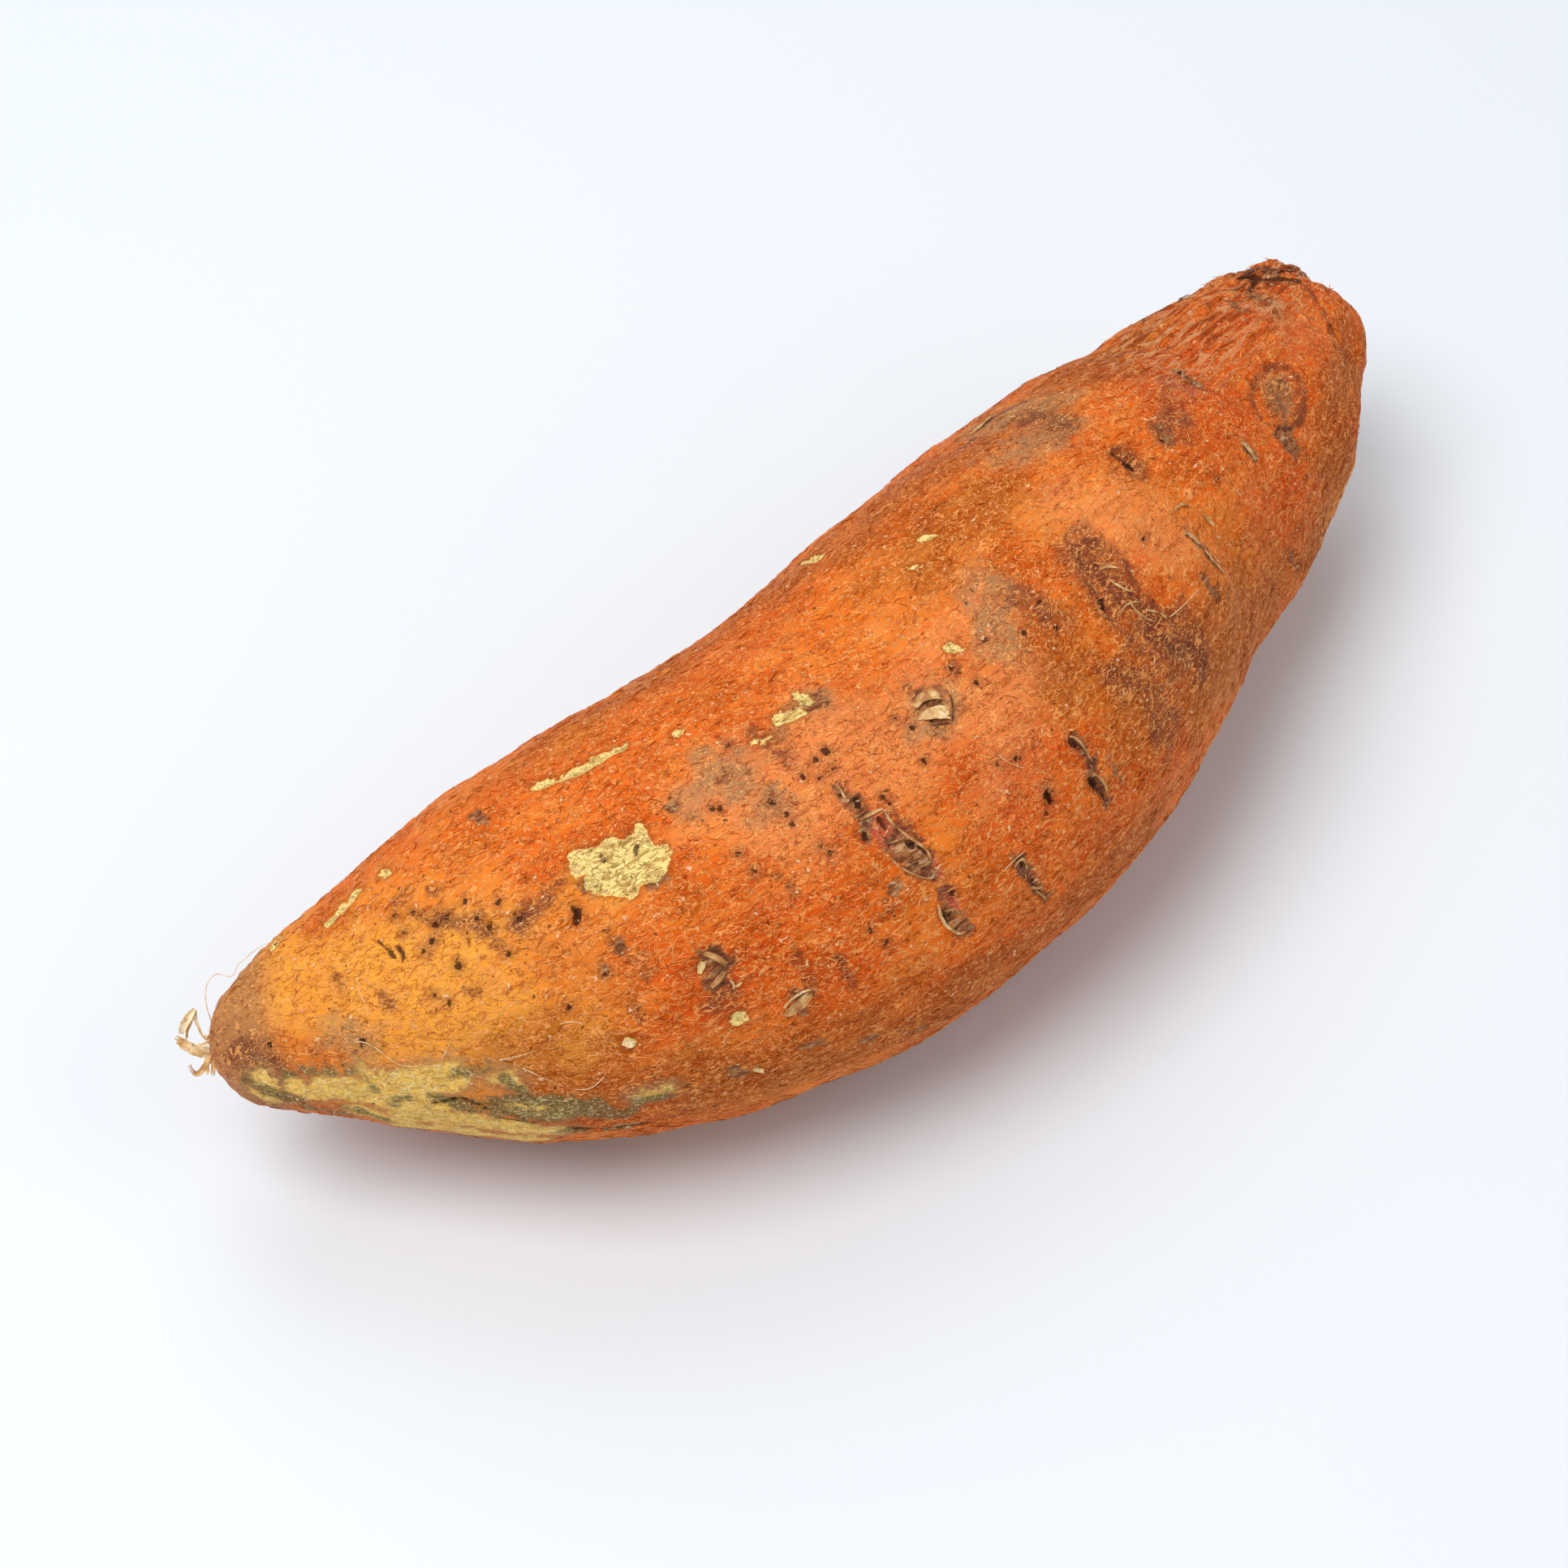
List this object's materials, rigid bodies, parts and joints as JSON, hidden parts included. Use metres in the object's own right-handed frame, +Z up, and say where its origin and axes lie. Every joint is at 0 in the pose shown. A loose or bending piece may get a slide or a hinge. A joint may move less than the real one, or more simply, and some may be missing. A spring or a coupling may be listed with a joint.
{
  "type": "sweet potato",
  "caption": "Orange sweet potato: a gently bent, tapering storage root with a torn stem stub at one end and dried rootlets at the tip, lying on its side.",
  "frame": {"origin": "on the resting surface, under the middle of the root's box", "axes": "+X from the thin root tip to the stem end, -Y towards the outer side of the bend, +Z up from the resting surface"},
  "size_m": [0.2118, 0.071, 0.061],
  "materials": {
    "skin": "thin matt fibrous orange skin of a sweet potato, slightly waxy, with brown scars, dark pits and pale peeled patches"
  },
  "bodies": {
    "root": {"sweet_potato": "skin"}
  },
  "joints": []
}
